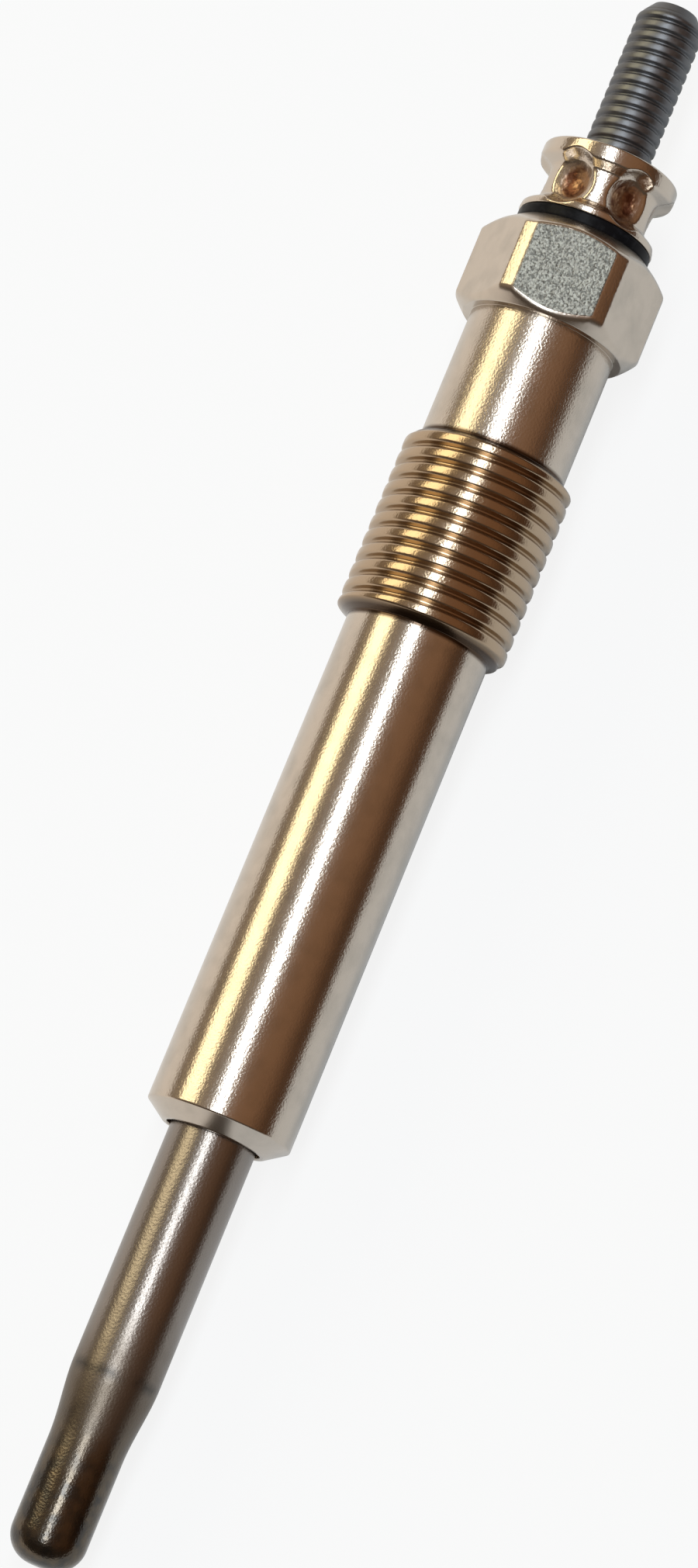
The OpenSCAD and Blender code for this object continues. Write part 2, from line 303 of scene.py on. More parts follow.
def divided(points, step):
    """Outline with no stretch longer than step, so that shading stays even along it."""
    out = [points[0]]
    for a, b in zip(points, points[1:]):
        count = max(1, math.ceil((Vector(b) - Vector(a)).length / step))
        out += [tuple(Vector(a).lerp(Vector(b), i / count)) for i in range(1, count + 1)]
    return out


def even_angles(count):
    """Angles round the axis, from the upper flat."""
    return [2 * math.pi * i / count for i in range(count)]


def lathe(name, rows, angles, ring=False):
    """Mesh turned round the plug's axis.
    A row is a station and a radius, or a station and a function of the angle.
    A ring's last row joins its first one; otherwise both ends are closed."""
    vertices = []
    for station, radius in rows:
        for angle in angles:
            r = radius(angle) if callable(radius) else radius
            vertices.append((station, r * math.sin(angle), r * math.cos(angle)))
    count = len(angles)
    faces = []
    for i in range(len(rows) if ring else len(rows) - 1):
        low, high = i * count, (i + 1) % len(rows) * count
        for j in range(count):
            k = (j + 1) % count
            faces.append((low + j, high + j, high + k, low + k))
    if not ring:
        for start, station, turn in ((0, rows[0][0], 1), ((len(rows) - 1) * count, rows[-1][0], -1)):
            hub = len(vertices)
            vertices.append((station, 0.0, 0.0))
            for j in range(count):
                edge = (start + j, start + (j + 1) % count)
                faces.append((hub, *edge[::turn]))
    mesh = bpy.data.meshes.new(name)
    mesh.from_pydata(vertices, [], faces)
    mesh.validate()
    mesh.polygons.foreach_set("use_smooth", [True] * len(mesh.polygons))
    piece = bpy.data.objects.new(name, mesh)
    piece.matrix_world = AXIS_FRAME
    bpy.context.scene.collection.objects.link(piece)
    return piece


def thread_radius(station, angle, crest, pitch, depth, crest_share=0.46, crown=0.085):
    """Radius of a right-handed thread with slightly rounded crests and round grooves.
    crest_share is the crests' share of the pitch, and crown the fall at their edges, in pitches."""
    across = abs(2 * ((station / pitch + angle / (2 * math.pi)) % 1.0) - 1)
    flank = min(across / (1 - crest_share), 1.0)
    rise = (1 - math.cos(math.pi * flank)) / 2
    return crest - depth * (1 - rise) - crown * pitch * (1 - across) ** 2 * rise


def thread_rows(stations, limit, crest, pitch, depth, blend):
    """Rows of a thread, blended over blend pitches into a widest radius, which limit gives for a station."""
    rows = []
    for station in stations:

        def radius(angle, station=station, widest=limit(station)):
            cut = thread_radius(station, angle, crest, pitch, depth)
            return soft_min(cut, widest, blend * pitch)

        rows.append((station, radius))
    return rows


def finish_piece(piece, material, slot, *nodes):
    """Gives a piece its material and ties it to the part."""
    piece.data.materials.append(material)
    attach(piece, BODY)
    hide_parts(*nodes)


# Materials


def add_node(tree, kind, inputs=None, **settings):
    """A shader node with its settings and inputs. An input that is a socket is linked."""
    made = tree.nodes.new(kind)
    for key, value in settings.items():
        setattr(made, key, value)
    for key, value in (inputs or {}).items():
        if isinstance(value, bpy.types.NodeSocket):
            tree.links.new(value, made.inputs[key])
        else:
            made.inputs[key].default_value = value
    return made


def new_material(name, metallic=0.0):
    """A material with a Principled shader. Returns it, its tree, the shader and the coordinates."""
    material = bpy.data.materials.new(name)
    material.use_nodes = True
    tree = material.node_tree
    tree.nodes.clear()
    shader = add_node(tree, "ShaderNodeBsdfPrincipled", {"Metallic": metallic})
    output = add_node(tree, "ShaderNodeOutputMaterial")
    tree.links.new(shader.outputs["BSDF"], output.inputs["Surface"])
    coordinates = add_node(tree, "ShaderNodeTexCoord").outputs["Object"]
    return material, tree, shader, coordinates


def noise(tree, coordinates, grain, detail=2.0):
    """Noise whose features are about grain metres wide, from 0 to 1."""
    made = add_node(
        tree, "ShaderNodeTexNoise", {"Vector": coordinates, "Scale": 1.0 / grain, "Detail": detail}
    )
    return made.outputs["Fac"]


def remap(tree, value, low, high, to_low=0.0, to_high=1.0):
    """value from low..high to to_low..to_high, held at the ends."""
    made = add_node(
        tree,
        "ShaderNodeMapRange",
        {"Value": value, "From Min": low, "From Max": high, "To Min": to_low, "To Max": to_high},
    )
    return made.outputs["Result"]


def patchy(tree, coordinates, grain, low, high, detail=2.0):
    """Patches about grain metres wide: 0 where their noise is below low, 1 where it is above high."""
    return remap(tree, noise(tree, coordinates, grain, detail), low, high)


# Places of the colour sockets on a Mix node
MIX_A, MIX_B, MIX_RESULT = 6, 7, 2


def mix(tree, factor, a, b):
    """Colour between a and b, each a socket or a colour without alpha."""
    a, b = (end if isinstance(end, bpy.types.NodeSocket) else (*end, 1.0) for end in (a, b))
    made = add_node(tree, "ShaderNodeMix", {"Factor": factor, MIX_A: a, MIX_B: b}, data_type="RGBA")
    return made.outputs[MIX_RESULT]


def calculate(tree, operation, a, b=0.0):
    """Math node on one or two values or sockets."""
    return add_node(tree, "ShaderNodeMath", {0: a, 1: b}, operation=operation).outputs["Value"]


def station_of(tree, coordinates):
    """Distance along the plug's axis, from the middle of the thread."""
    return add_node(tree, "ShaderNodeSeparateXYZ", {"Vector": coordinates}).outputs["X"]


def facing(tree):
    """Parts of the surface's normal along the plug's own axes."""
    normal = add_node(tree, "ShaderNodeTexCoord").outputs["Normal"]
    return add_node(tree, "ShaderNodeSeparateXYZ", {"Vector": normal}).outputs


def radius_of(tree, coordinates):
    """Distance from the plug's axis."""
    across = add_node(
        tree, "ShaderNodeVectorMath", {0: coordinates, 1: (0.0, 1.0, 1.0)}, operation="MULTIPLY"
    ).outputs["Vector"]
    return add_node(tree, "ShaderNodeVectorMath", {0: across}, operation="LENGTH").outputs["Value"]


def bump(tree, shader, height, distance=1.0):
    """Fine relief, distance metres deep, or as deep as height says in metres."""
    made = add_node(tree, "ShaderNodeBump", {"Height": height, "Distance": distance, "Strength": 1.0})
    tree.links.new(made.outputs["Normal"], shader.inputs["Normal"])


def nickel_plate(finishes, sizes):
    """Bright plating with a fine grain: browned on the thread, with painted shade in its roots and at its
    ends, satin past it, and rougher on the upper flat, whose darker, speckled colour is painted shade.
    """
    material, tree, shader, coordinates = new_material("nickel_plate", metallic=1.0)
    normal = facing(tree)
    station = station_of(tree, coordinates)
    level = remap(tree, calculate(tree, "ABSOLUTE", normal["X"]), 0.1, 0.4, 1.0, 0.0)
    upward = remap(tree, normal["Z"], 0.985, 0.998)
    hex_start = SHELL.end - sizes.hex_h
    past_shank = remap(tree, station, hex_start, hex_start + 0.2 * MM)
    upper_flat = calculate(tree, "MULTIPLY", past_shank, upward)
    thread_end = sizes.thread_len / 2
    from_middle = calculate(tree, "ABSOLUTE", station)
    threaded = remap(tree, from_middle, thread_end - 0.3 * MM, thread_end, 1.0, 0.0)
    past_thread = remap(tree, station, thread_end - 0.2 * MM, thread_end + 0.2 * MM)

    patches = patchy(tree, coordinates, grain=1.4 * MM, low=0.45, high=0.75, detail=4.0)
    plating = mix(tree, patches, finishes.nickel, finishes.nickel_dull)
    # Painted shade: the thread's colour darkens towards its roots.
    depth = remap(tree, radius_of(tree, coordinates), sizes.thread_r - 0.3 * MM, sizes.thread_r, 1.0, 0.0)
    browned = mix(tree, depth, finishes.nickel_crest, finishes.nickel_root_shade)
    # Painted shade: darker, speckled colour on the hexagon's upward flat.
    speckles = patchy(tree, coordinates, grain=0.13 * MM, low=0.42, high=0.6)
    wear_and_flat_shade = mix(tree, speckles, finishes.nickel_flat_shade, finishes.nickel_flat_speckle)
    turned = mix(tree, threaded, plating, browned)
    # Painted shade: a dark band over each end of the thread, where it meets barrel and shank.
    inner_edge = remap(tree, from_middle, thread_end - 0.5 * MM, thread_end - 0.2 * MM)
    outer_edge = remap(tree, from_middle, thread_end + 0.1 * MM, thread_end + 0.3 * MM, 1.0, 0.0)
    end_shade = calculate(tree, "MULTIPLY", inner_edge, outer_edge)
    shade = mix(tree, upper_flat, mix(tree, end_shade, turned, finishes.nickel_end_shade), wear_and_flat_shade)
    tree.links.new(shade, shader.inputs["Base Color"])

    satin = remap(tree, past_thread, 0.0, 1.0, 0.19, 0.24)
    rough = remap(tree, upper_flat, 0.0, 1.0, 0.0, 0.42)
    tree.links.new(calculate(tree, "MAXIMUM", satin, rough), shader.inputs["Roughness"])
    fine_depth = remap(tree, past_thread, 0.0, 1.0, 0.009 * MM, 0.016 * MM)
    fine = calculate(tree, "MULTIPLY", noise(tree, coordinates, 0.13 * MM, detail=1.0), fine_depth)
    coarse = calculate(tree, "MULTIPLY", noise(tree, coordinates, 0.15 * MM, detail=1.0), 0.04 * MM)
    on_flat = calculate(tree, "MULTIPLY", coarse, upper_flat)
    on_rounds = calculate(tree, "MULTIPLY", fine, level)
    bump(tree, shader, calculate(tree, "ADD", on_flat, on_rounds))
    return material


def sheath_steel(finishes, sizes):
    """Heat-tinted tube: grey by the body, brown at the taper, near black at the tip, with a swage mark."""
    material, tree, shader, coordinates = new_material("sheath_steel", metallic=1.0)
    station = station_of(tree, coordinates)
    taper = TUBE.start + sizes.tip_len
    wander = remap(tree, noise(tree, coordinates, 2.2 * MM, detail=3.0), 0.3, 0.7, -1.2 * MM, 1.2 * MM)
    place = calculate(tree, "ADD", station, wander)
    patches = patchy(tree, coordinates, grain=0.9 * MM, low=0.42, high=0.62, detail=4.0)
    tip = mix(tree, patches, finishes.sheath_olive, finishes.sheath_dark)
    to_brown = remap(tree, place, taper - 2.0 * MM, taper + 2.0 * MM)
    to_grey = remap(tree, place, taper + 3.0 * MM, taper + 8.0 * MM)
    tint = mix(tree, to_grey, mix(tree, to_brown, tip, finishes.sheath_brown), finishes.sheath)
    mark_place = TUBE.start + sizes.mark_from_tip
    from_mark = calculate(tree, "ABSOLUTE", calculate(tree, "SUBTRACT", station, mark_place))
    mark = remap(tree, from_mark, 0.0, sizes.mark_width, 1.0, 0.0)
    wear_and_flat_shade = remap(tree, noise(tree, coordinates, 1.1 * MM), 0.40, 0.60, 0.05, 0.75)
    marked = mix(tree, calculate(tree, "MULTIPLY", mark, wear_and_flat_shade), tint, finishes.sheath_dark)
    tree.links.new(marked, shader.inputs["Base Color"])
    near_tip = remap(tree, to_brown, 0.0, 1.0, 0.21, 0.40)
    smoother = remap(tree, to_grey, 0.0, 1.0, 0.0, 0.12)
    tree.links.new(calculate(tree, "SUBTRACT", near_tip, smoother), shader.inputs["Roughness"])
    bump(tree, shader, noise(tree, coordinates, 0.14 * MM, detail=1.0), 0.012 * MM)
    return material


def stud_steel(finishes):
    """Dark rolled steel of the rod and its thread."""
    material, tree, shader, coordinates = new_material("stud_steel", metallic=1.0)
    patches = noise(tree, coordinates, 0.5 * MM, detail=3.0)
    dark = tuple(0.65 * value for value in finishes.stud)
    tree.links.new(mix(tree, patches, dark, finishes.stud), shader.inputs["Base Color"])
    tree.links.new(remap(tree, patches, 0.3, 0.7, 0.38, 0.5), shader.inputs["Roughness"])
    bump(tree, shader, noise(tree, coordinates, 0.08 * MM), 0.005 * MM)
    return material


def collar_plate(finishes, sizes):
    """Plated ring, with bare reddish metal in the crimp dents."""
    material, tree, shader, coordinates = new_material("collar_plate", metallic=1.0)
    radius = radius_of(tree, coordinates)
    stain = remap(tree, radius, sizes.waist_r - 0.4 * MM, sizes.waist_r - 0.1 * MM, 1.0, 0.0)
    spots = patchy(tree, coordinates, grain=0.7 * MM, low=0.4, high=0.6)
    bare = mix(tree, spots, finishes.copper, finishes.copper_dark)
    tree.links.new(mix(tree, stain, finishes.nickel, bare), shader.inputs["Base Color"])
    tree.links.new(remap(tree, stain, 0.0, 1.0, 0.19, 0.36), shader.inputs["Roughness"])
    grain = calculate(tree, "MULTIPLY", noise(tree, coordinates, 0.14 * MM, detail=1.0), 0.009 * MM)
    pressed = calculate(tree, "MULTIPLY", noise(tree, coordinates, 0.6 * MM), 0.12 * MM)
    relief = calculate(tree, "ADD", grain, calculate(tree, "MULTIPLY", pressed, stain))
    bump(tree, shader, relief)
    return material


def black_plastic(finishes):
    """Black moulded washer with a faint sheen."""
    material, tree, shader, coordinates = new_material("black_plastic")
    scuffs = patchy(tree, coordinates, grain=0.4 * MM, low=0.5, high=0.75, detail=4.0)
    pale = tuple(2.5 * value for value in finishes.washer)
    tree.links.new(mix(tree, scuffs, finishes.washer, pale), shader.inputs["Base Color"])
    shader.inputs["Specular IOR Level"].default_value = 0.06
    tree.links.new(remap(tree, scuffs, 0.0, 1.0, 0.32, 0.5), shader.inputs["Roughness"])
    bump(tree, shader, noise(tree, coordinates, 0.12 * MM), 0.006 * MM)
    return material


def plain_finish(name, rgb, roughness, grain, metallic=0.0):
    """Finish of a piece sealed inside the plug: mottled colour and fine relief."""
    material, tree, shader, coordinates = new_material(name, metallic)
    shader.inputs["Roughness"].default_value = roughness
    dark = tuple(0.7 * value for value in rgb)
    patches = noise(tree, coordinates, grain, detail=3.0)
    tree.links.new(mix(tree, patches, dark, rgb), shader.inputs["Base Color"])
    bump(tree, shader, noise(tree, coordinates, grain / 3), grain / 20)
    return material


def table_white(finishes):
    """White table that keeps the plug's shadow.
    In reflections it is dark where the plug shades it on the right, a painted shadow, and it has painted warm
    lamp light on the left."""
    in_view_share, in_metal_share, shaded_share = 0.87, 0.5, 0.08
    material, tree, shader, coordinates = new_material("table_white")
    mottle = noise(tree, coordinates, 20 * MM)
    dim = tuple(0.985 * value for value in finishes.table)
    tree.links.new(mix(tree, mottle, dim, finishes.table), shader.inputs["Base Color"])
    shader.inputs["Roughness"].default_value = 0.8
    shader.inputs["Specular IOR Level"].default_value = 0.1

    path = add_node(tree, "ShaderNodeLightPath").outputs
    in_view = calculate(tree, "MULTIPLY", path["Is Camera Ray"], in_view_share)
    sides = add_node(tree, "ShaderNodeSeparateXYZ", {"Vector": coordinates}).outputs
    lit_right = remap(tree, sides["Y"], -11 * MM, -7 * MM, in_metal_share, shaded_share)
    lit_left = remap(tree, sides["Y"], 0.0, 2 * MM, shaded_share, in_metal_share)
    lit_tip = remap(tree, sides["X"], -36 * MM, -32 * MM, in_metal_share, shaded_share)
    lit = calculate(tree, "MAXIMUM", lit_tip, calculate(tree, "MAXIMUM", lit_left, lit_right))
    in_metal = calculate(tree, "MULTIPLY", path["Is Glossy Ray"], lit)
    glow = calculate(tree, "MAXIMUM", in_view, in_metal)

    # Painted warm lamp light on the left of the table, in reflections only.
    lamp_glow_side = remap(tree, sides["Y"], 0.0, 20 * MM)
    painted_glow = calculate(tree, "MULTIPLY", lamp_glow_side, path["Is Glossy Ray"])
    tone = mix(tree, painted_glow, finishes.table_lit, finishes.table_lamp_glow)
    bright = add_node(tree, "ShaderNodeEmission", {"Color": tone, "Strength": 1.0}).outputs["Emission"]
    both = add_node(tree, "ShaderNodeMixShader", {0: glow, 1: shader.outputs["BSDF"], 2: bright})
    output = tree.nodes["Material Output"]
    tree.links.new(both.outputs["Shader"], output.inputs["Surface"])
    return material


# Pieces


def hexagon_radius(sizes, angle):
    """Radius of the hexagon at an angle from the upper flat. Its corners are left round from the bar."""
    from_flat = abs((angle + math.pi / 6) % (math.pi / 3) - math.pi / 6)
    return soft_min(sizes.hex_half / math.cos(from_flat), sizes.hex_corner_r, sizes.hex_corner_blend)


def hexagon_angles(flat_steps=20, corner_steps=18, corner_share=0.2):
    """Angles round the axis, closer together at the hexagon's corners."""
    sector = math.pi / 3
    corner = sector * corner_share
    angles = []
    for i in range(6):
        start = sector * i - sector / 2
        angles += [start - corner / 2 + corner * j / corner_steps for j in range(corner_steps)]
        angles += [start + corner / 2 + (sector - corner) * j / flat_steps for j in range(flat_steps)]
    return angles


class GLOW_OT_plug_body(bpy.types.Operator):
    """Builds the turned body with its thread and hexagon."""

    bl_idname = "glow.plug_body"
    bl_label = "Plug body"

    def execute(self, context):
        sizes = context.scene.glow_body
        finishes = context.scene.glow_finishes
        tube_r = TUBE.radius
        seat, top = SHELL.start, SHELL.end
        thread0, thread1 = -sizes.thread_len / 2, sizes.thread_len / 2
        hex0 = top - sizes.hex_h
        mouth_r = tube_r + sizes.mouth_gap

        support = sizes.edge / 2
        barrel = softened(
            [
                (seat + sizes.mouth_depth, tube_r),
                (seat + sizes.mouth_depth, mouth_r),
                (seat, mouth_r),
                (seat, sizes.seat_face_r),
                (seat + sizes.seat_cone_h, sizes.barrel_r),
                (thread0 - support, sizes.barrel_r),
            ],
            sizes.edge,
        )
        shank = softened(
            [
                (thread1 + support, sizes.shank_r),
                (hex0, sizes.shank_r),
                (hex0, sizes.hex_face_r - support),
            ],
            sizes.edge / 2,
        )
        rows = divided(barrel, step=1.0 * MM) + [(thread0, sizes.barrel_r)]
        rows += self.thread(sizes, thread0, thread1)
        rows += [(thread1, sizes.shank_r)] + divided(shank, step=1.0 * MM)
        rows += self.hexagon_rows(sizes, hex0, top)
        rows += softened(
            [
                (top, sizes.hex_top_r - sizes.edge),
                (top, sizes.counterbore_r),
                (top - sizes.counterbore_h, sizes.counterbore_r),
                (top - sizes.counterbore_h, tube_r),
            ],
            sizes.edge,
        )
        piece = lathe("plug_body_shell", rows, hexagon_angles(), ring=True)
        finish_piece(piece, nickel_plate(finishes, sizes), "nickel_plate", "plug_body")
        return {"FINISHED"}

    def thread(self, sizes, start, end, per_pitch=20):
        """Rows of the thread, cut off by a cone at each end."""
        count = round((end - start) / sizes.thread_pitch * per_pitch)
        stations = [start + (end - start) * i / count for i in range(1, count)]

        def limit(station):
            rise = (sizes.thread_r - sizes.barrel_r) * (station - start) / sizes.thread_lead
            fall = (sizes.thread_r - sizes.shank_r) * (end - station) / sizes.thread_lead
            return min(sizes.barrel_r + rise, sizes.shank_r + fall)

        return thread_rows(
            stations, limit, sizes.thread_r, sizes.thread_pitch, sizes.thread_depth, blend=0.1
        )

    def hexagon_rows(self, sizes, start, end, lower_steps=20, flat_steps=8, upper_steps=28):
        """Rows of the hexagon, its corners turned off by a cone at each face."""
        widest = hexagon_radius(sizes, math.pi / 6) + sizes.hex_edge
        lower = (widest - sizes.hex_face_r) * math.tan(sizes.hex_lower_slope)
        upper = (widest - sizes.hex_top_r) * math.tan(sizes.hex_upper_slope)
        flat = end - start - lower - upper
        stations = [start + lower * i / lower_steps for i in range(lower_steps + 1)]
        stations += [start + lower + flat * i / flat_steps for i in range(1, flat_steps)]
        stations += [end - upper + upper * i / upper_steps for i in range(upper_steps + 1)]
        rows = []
        for station in stations:
            below = sizes.hex_face_r + (station - start) / math.tan(sizes.hex_lower_slope)
            above = sizes.hex_top_r + (end - station) / math.tan(sizes.hex_upper_slope)

            def radius(angle, limit=min(below, above)):
                return soft_min(hexagon_radius(sizes, angle), limit, sizes.hex_edge)

            rows.append((station, radius))
        return rows


class GLOW_OT_heater_tube(bpy.types.Operator):
    """Builds the closed heater tube with its swaged tip."""

    bl_idname = "glow.heater_tube"
    bl_label = "Heater tube"

    def execute(self, context):
        sizes = context.scene.glow_heater
        finishes = context.scene.glow_finishes
        outside = self.outline(sizes, 0.0, sizes.corner_r, TUBE.start)
        inside = self.outline(sizes, sizes.wall, sizes.bore_corner_r, TUBE.start + sizes.end_wall)
        piece = lathe("heater_tube_sheath", outside + inside[::-1], even_angles(128))
        finish_piece(piece, sheath_steel(finishes, sizes), "sheath_steel", "heater_tube")
        return {"FINISHED"}

    def outline(self, sizes, inset, corner_r, start, corner_steps=14, swage_steps=28):
        """Half outline from the closed end to the open one."""
        tip_r, tube_r = sizes.tip_r - inset, TUBE.radius - inset
        points = []
        for i in range(corner_steps + 1):
            turn = math.pi / 2 * i / corner_steps
            points.append((start + corner_r * (1 - math.cos(turn)), tip_r - corner_r * (1 - math.sin(turn))))
        for i in range(swage_steps + 1):
            t = i / swage_steps
            station = TUBE.start + sizes.tip_len + sizes.swage_len * t
            points.append((station, tip_r + (tube_r - tip_r) * ease(t)))
        points.append((TUBE.end, tube_r))
        return divided(points, step=0.5 * MM)


class GLOW_OT_terminal_stud(bpy.types.Operator):
    """Builds the centre rod with the thread of the terminal stud."""

    bl_idname = "glow.terminal_stud"
    bl_label = "Centre rod and stud"

    def execute(self, context):
        sizes = context.scene.glow_terminal
        finishes = context.scene.glow_finishes
        edge = context.scene.glow_body.edge
        shoulder = ROD.start + sizes.rod_end_len
        neck = WASHER.start - sizes.neck_below
        rows = softened(
            [
                (ROD.start, sizes.rod_end_r),
                (shoulder, sizes.rod_end_r),
                (shoulder, sizes.rod_r),
                (neck - sizes.neck_taper, sizes.rod_r),
                (neck, sizes.neck_r),
                (COLLAR.end, sizes.neck_r),
            ],
            edge,
        )
        rows += self.thread(sizes, COLLAR.end, ROD.end)
        piece = lathe("terminal_stud_rod", rows, even_angles(112))
        finish_piece(piece, stud_steel(finishes), "stud_steel", "centre_rod")
        return {"FINISHED"}

    def thread(self, sizes, start, end, per_pitch=16):
        """Rows of the stud's thread, bevelled at its end."""
        count = round((end - start) / sizes.stud_pitch * per_pitch)
        stations = [start + (end - start) * i / count for i in range(count + 1)]

        def limit(station):
            bevel = sizes.stud_bevel / sizes.stud_bevel_len * (end - station)
            return sizes.stud_r - sizes.stud_bevel + bevel

        return thread_rows(
            stations, limit, sizes.stud_r, sizes.stud_pitch, sizes.stud_depth, blend=0.15
        )


class GLOW_OT_insulating_washer(bpy.types.Operator):
    """Builds the black flanged washer."""

    bl_idname = "glow.insulating_washer"
    bl_label = "Insulating washer"

    def execute(self, context):
        sizes = context.scene.glow_terminal
        finishes = context.scene.glow_finishes
        flange = WASHER.start + sizes.spigot_len
        outline = [
            (WASHER.start, sizes.washer_bore_r),
            (WASHER.start, sizes.spigot_r),
            (flange, sizes.spigot_r),
            (flange, WASHER.radius),
            (WASHER.end, WASHER.radius),
            (WASHER.end, sizes.washer_bore_r),
        ]
        rows = softened(outline, sizes.washer_edge)
        piece = lathe("insulating_washer_bush", rows, even_angles(128), ring=True)
        finish_piece(piece, black_plastic(finishes), "black_plastic", "insulating_washer")
        return {"FINISHED"}


class GLOW_OT_terminal_collar(bpy.types.Operator):
    """Builds the crimped collar under the stud."""

    bl_idname = "glow.terminal_collar"
    bl_label = "Terminal collar"

    def execute(self, context):
        sizes = context.scene.glow_terminal
        finishes = context.scene.glow_finishes
        foot = COLLAR.start + sizes.foot_h
        rim = COLLAR.end - sizes.rim_h
        outline = [
            (COLLAR.start, sizes.neck_r),
            (COLLAR.start, COLLAR.radius),
            (foot, COLLAR.radius),
            (foot + sizes.flare_h, sizes.waist_r),
            (rim - sizes.flare_h, sizes.waist_r),
            (rim, COLLAR.radius),
            (COLLAR.end, COLLAR.radius),
            (COLLAR.end, sizes.neck_r),
        ]
        middle = (foot + rim) / 2
        rows = []
        for station, radius in divided(softened(outline, sizes.collar_edge), step=0.08 * MM):
            rows.append((station, self.dented(sizes, station, radius, middle)))
        piece = lathe("terminal_collar_ring", rows, even_angles(216), ring=True)
        finish_piece(piece, collar_plate(finishes, sizes), "collar_plate", "terminal_collar")
        return {"FINISHED"}

    def dented(self, sizes, station, radius, middle):
        """Radius at a station as a function of the angle, pressed in by the nearest round dent."""
        ball_r = (sizes.dent_w**2 / 4 + sizes.dent_depth**2) / (2 * sizes.dent_depth)
        ball_reach = sizes.waist_r + ball_r - sizes.dent_depth
        sector = 2 * math.pi / sizes.dent_count
        plain_r = 1.2 * sizes.neck_r  # nearer to the bore than this, the ring stays round

        def pressed(angle):
            from_dent = abs(angle % sector - sector / 2)
            inside = ball_r**2 - (station - middle) ** 2 - (ball_reach * math.sin(from_dent)) ** 2
            if inside <= 0 or radius <= plain_r:
                return radius
            return soft_min(radius, ball_reach * math.cos(from_dent) - math.sqrt(inside), sizes.dent_edge)

        return pressed


class GLOW_OT_inner_pieces(bpy.types.Operator):
    """Gives the pieces sealed inside the plug their finishes."""

    bl_idname = "glow.inner_pieces"
    bl_label = "Inner pieces"

    def execute(self, context):
        finishes = context.scene.glow_finishes
        wire = plain_finish("coil_wire", finishes.wire, roughness=0.35, grain=0.1 * MM, metallic=1.0)
        rubber = plain_finish("seal_rubber", finishes.rubber, roughness=0.6, grain=0.15 * MM)
        powder = plain_finish("magnesia_powder", finishes.magnesia, roughness=0.9, grain=0.2 * MM)
        for node, material in (
            ("heating_coil", wire),
            ("regulating_coil", wire),
            ("tube_seal", rubber),
            ("body_seal", rubber),
            ("magnesia_fill", powder),
        ):
            solid = frame["nodes"][node]
            solid.data.materials.clear()
            solid.data.materials.append(material)
        return {"FINISHED"}


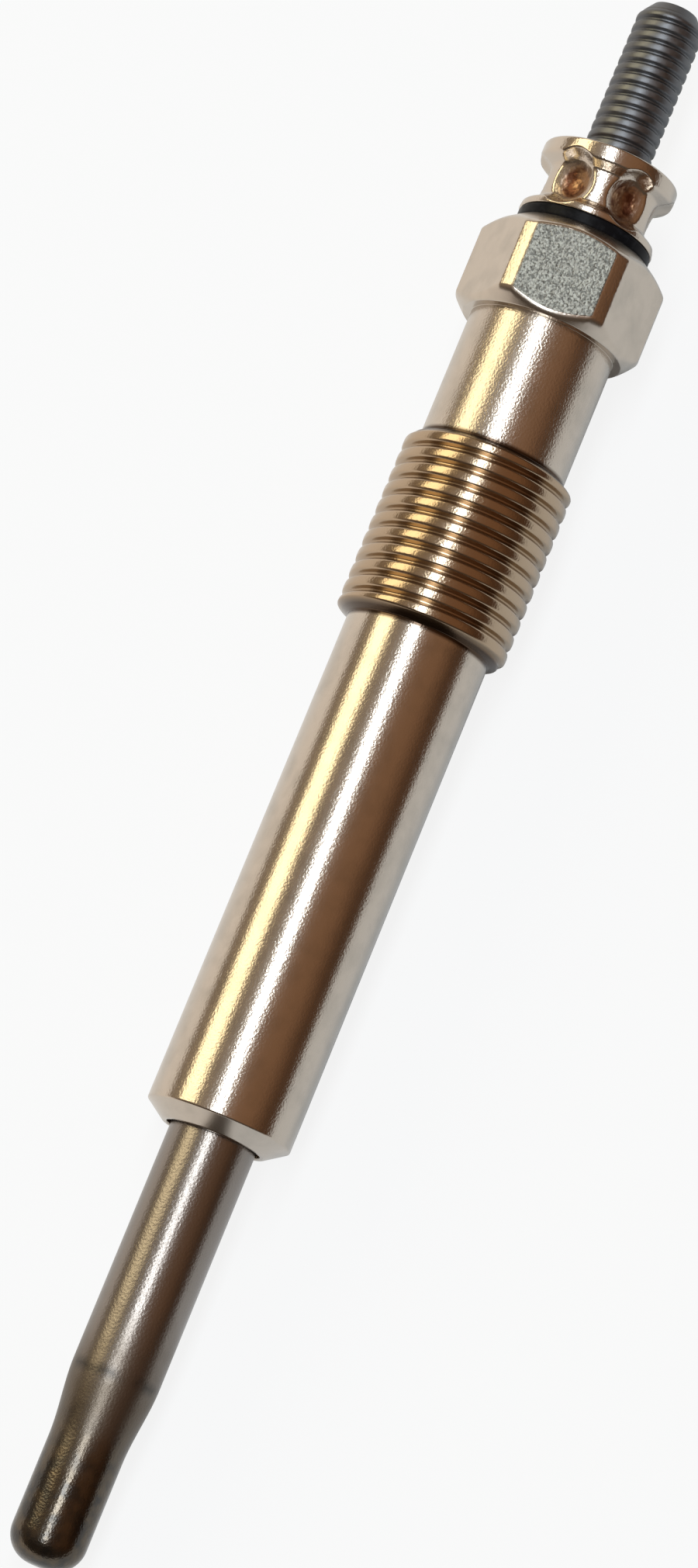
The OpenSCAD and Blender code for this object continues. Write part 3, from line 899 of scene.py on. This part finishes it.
class GLOW_OT_stage(bpy.types.Operator):
    """Sets the table, the lamps and the camera."""

    bl_idname = "glow.stage"
    bl_label = "Stage"

    def execute(self, context):
        scene = context.scene
        scene.view_settings.view_transform = "Standard"
        self.table(scene)
        self.room(scene)
        stage = scene.glow_stage
        overhead = {"station": 0.05, "lean": 4.7, "size": (0.8, 0.09)}
        aslant = {"station": 0.294, "lean": 54, "size": (0.612, 0.23)}
        self.lamp("overhead_lamp", stage.overhead_tint, stage.overhead_power, **overhead)
        self.lamp("warm_lamp", stage.warm_tint, stage.warm_power, **aslant)
        self.camera(scene)
        return {"FINISHED"}

    def table(self, scene, half=2.0):
        """Wide table at the height of the plug's lowest point."""
        low = CAD_BOX[0][2]
        mesh = bpy.data.meshes.new("table")
        corners = [(-half, -half, low), (half, -half, low), (half, half, low), (-half, half, low)]
        mesh.from_pydata(corners, [], [(0, 1, 2, 3)])
        mesh.materials.append(table_white(scene.glow_finishes))
        table = bpy.data.objects.new("table", mesh)
        scene.collection.objects.link(table)

    def room(self, scene):
        """Dim brown room with a pale floor, as the world around the table. Only reflections show it."""
        stage = scene.glow_stage
        world = bpy.data.worlds.new("room")
        scene.world = world
        world.use_nodes = True
        tree = world.node_tree
        tree.nodes.clear()
        direction = add_node(tree, "ShaderNodeTexCoord").outputs["Generated"]
        parts = add_node(tree, "ShaderNodeSeparateXYZ", {"Vector": direction}).outputs
        left = remap(tree, parts["Y"], -0.1, 0.1)
        high = remap(tree, parts["Z"], 0.29, 0.67)
        right_wall = mix(tree, high, stage.room_right_low, stage.room_right)
        brown = mix(tree, left, right_wall, stage.room_left)
        above = remap(tree, parts["Z"], -0.02, 0.03)
        ahead = remap(tree, parts["X"], -0.75, -0.35, 1.0, 0.0)
        floor = mix(tree, ahead, stage.room_floor, stage.room_end)
        shade = mix(tree, above, floor, mix(tree, ahead, brown, stage.room_end))
        path = add_node(tree, "ShaderNodeLightPath").outputs
        soft = mix(tree, path["Is Glossy Ray"], stage.room_fill, shade)
        seen = mix(tree, path["Is Camera Ray"], soft, stage.backdrop)
        background = add_node(tree, "ShaderNodeBackground", {"Color": seen})
        output = add_node(tree, "ShaderNodeOutputWorld")
        tree.links.new(background.outputs["Background"], output.inputs["Surface"])

    def lamp(self, name, rgb, radiance, station, lean, size, distance=0.5):
        """Soft rectangular lamp along the plug, lean degrees off the vertical. Lengths are in metres,
        and radiance is how bright it looks in the metal."""
        data = bpy.data.lights.new(name, "AREA")
        data.shape = "RECTANGLE"
        data.size, data.size_y = size
        data.color = rgb
        data.energy = radiance * math.pi * size[0] * size[1]
        lamp = bpy.data.objects.new(name, data)
        turn = Matrix.Rotation(math.radians(-lean), 4, "X")
        foot = Matrix.Translation((station, 0.0, 0.0))
        lamp.matrix_world = foot @ turn @ Matrix.Translation((0.0, 0.0, distance))
        lamp.visible_camera = False
        bpy.context.scene.collection.objects.link(lamp)

    def camera(self, scene):
        """Camera at the photograph's viewing angle."""
        stage = scene.glow_stage
        data = bpy.data.cameras.new("camera")
        data.sensor_fit = "VERTICAL"
        data.sensor_height = 36.0
        data.lens = stage.focal_px / PHOTO_H * data.sensor_height
        data.clip_start = 0.01
        camera = bpy.data.objects.new("camera", data)
        outward = math.cos(stage.round) * UP - math.sin(stage.round) * SIDE
        back = math.cos(stage.lean) * outward - math.sin(stage.lean) * AXIS
        along = (AXIS - AXIS.dot(back) * back).normalized()
        beside = along.cross(back)
        right = math.sin(stage.roll) * along + math.cos(stage.roll) * beside
        upward = math.cos(stage.roll) * along - math.sin(stage.roll) * beside
        target = AXIS_FRAME @ Vector((stage.aim, 0.0, 0.0)) - stage.aside * beside
        turn = Matrix((right, upward, back)).transposed()
        camera.matrix_world = Matrix.Translation(target + stage.distance * back) @ turn.to_4x4()
        scene.collection.objects.link(camera)
        scene.camera = camera


class GLOW_PT_panel(bpy.types.Panel):
    """Lists the plug's pieces."""

    bl_idname = "GLOW_PT_panel"
    bl_label = "Glow plug"
    bl_space_type = "VIEW_3D"
    bl_region_type = "UI"
    bl_category = "Glow plug"

    def draw(self, context):
        for operator in OPERATORS:
            self.layout.operator(operator.bl_idname)


OPERATORS = (
    GLOW_OT_plug_body,
    GLOW_OT_heater_tube,
    GLOW_OT_terminal_stud,
    GLOW_OT_insulating_washer,
    GLOW_OT_terminal_collar,
    GLOW_OT_inner_pieces,
    GLOW_OT_stage,
)
GROUPS = {
    "glow_body": BodySizes,
    "glow_heater": HeaterSizes,
    "glow_terminal": TerminalSizes,
    "glow_finishes": Finishes,
    "glow_stage": StageSettings,
}


def register():
    for cls in (*GROUPS.values(), *OPERATORS, GLOW_PT_panel):
        bpy.utils.register_class(cls)
    for name, group in GROUPS.items():
        setattr(bpy.types.Scene, name, PointerProperty(type=group))


def unregister():
    for name in GROUPS:
        delattr(bpy.types.Scene, name)
    for cls in (GLOW_PT_panel, *reversed(OPERATORS), *reversed(list(GROUPS.values()))):
        bpy.utils.unregister_class(cls)


def main():
    register()
    bpy.ops.glow.plug_body()
    bpy.ops.glow.heater_tube()
    bpy.ops.glow.terminal_stud()
    bpy.ops.glow.insulating_washer()
    bpy.ops.glow.terminal_collar()
    bpy.ops.glow.inner_pieces()
    bpy.ops.glow.stage()


if __name__ == "__main__":
    main()
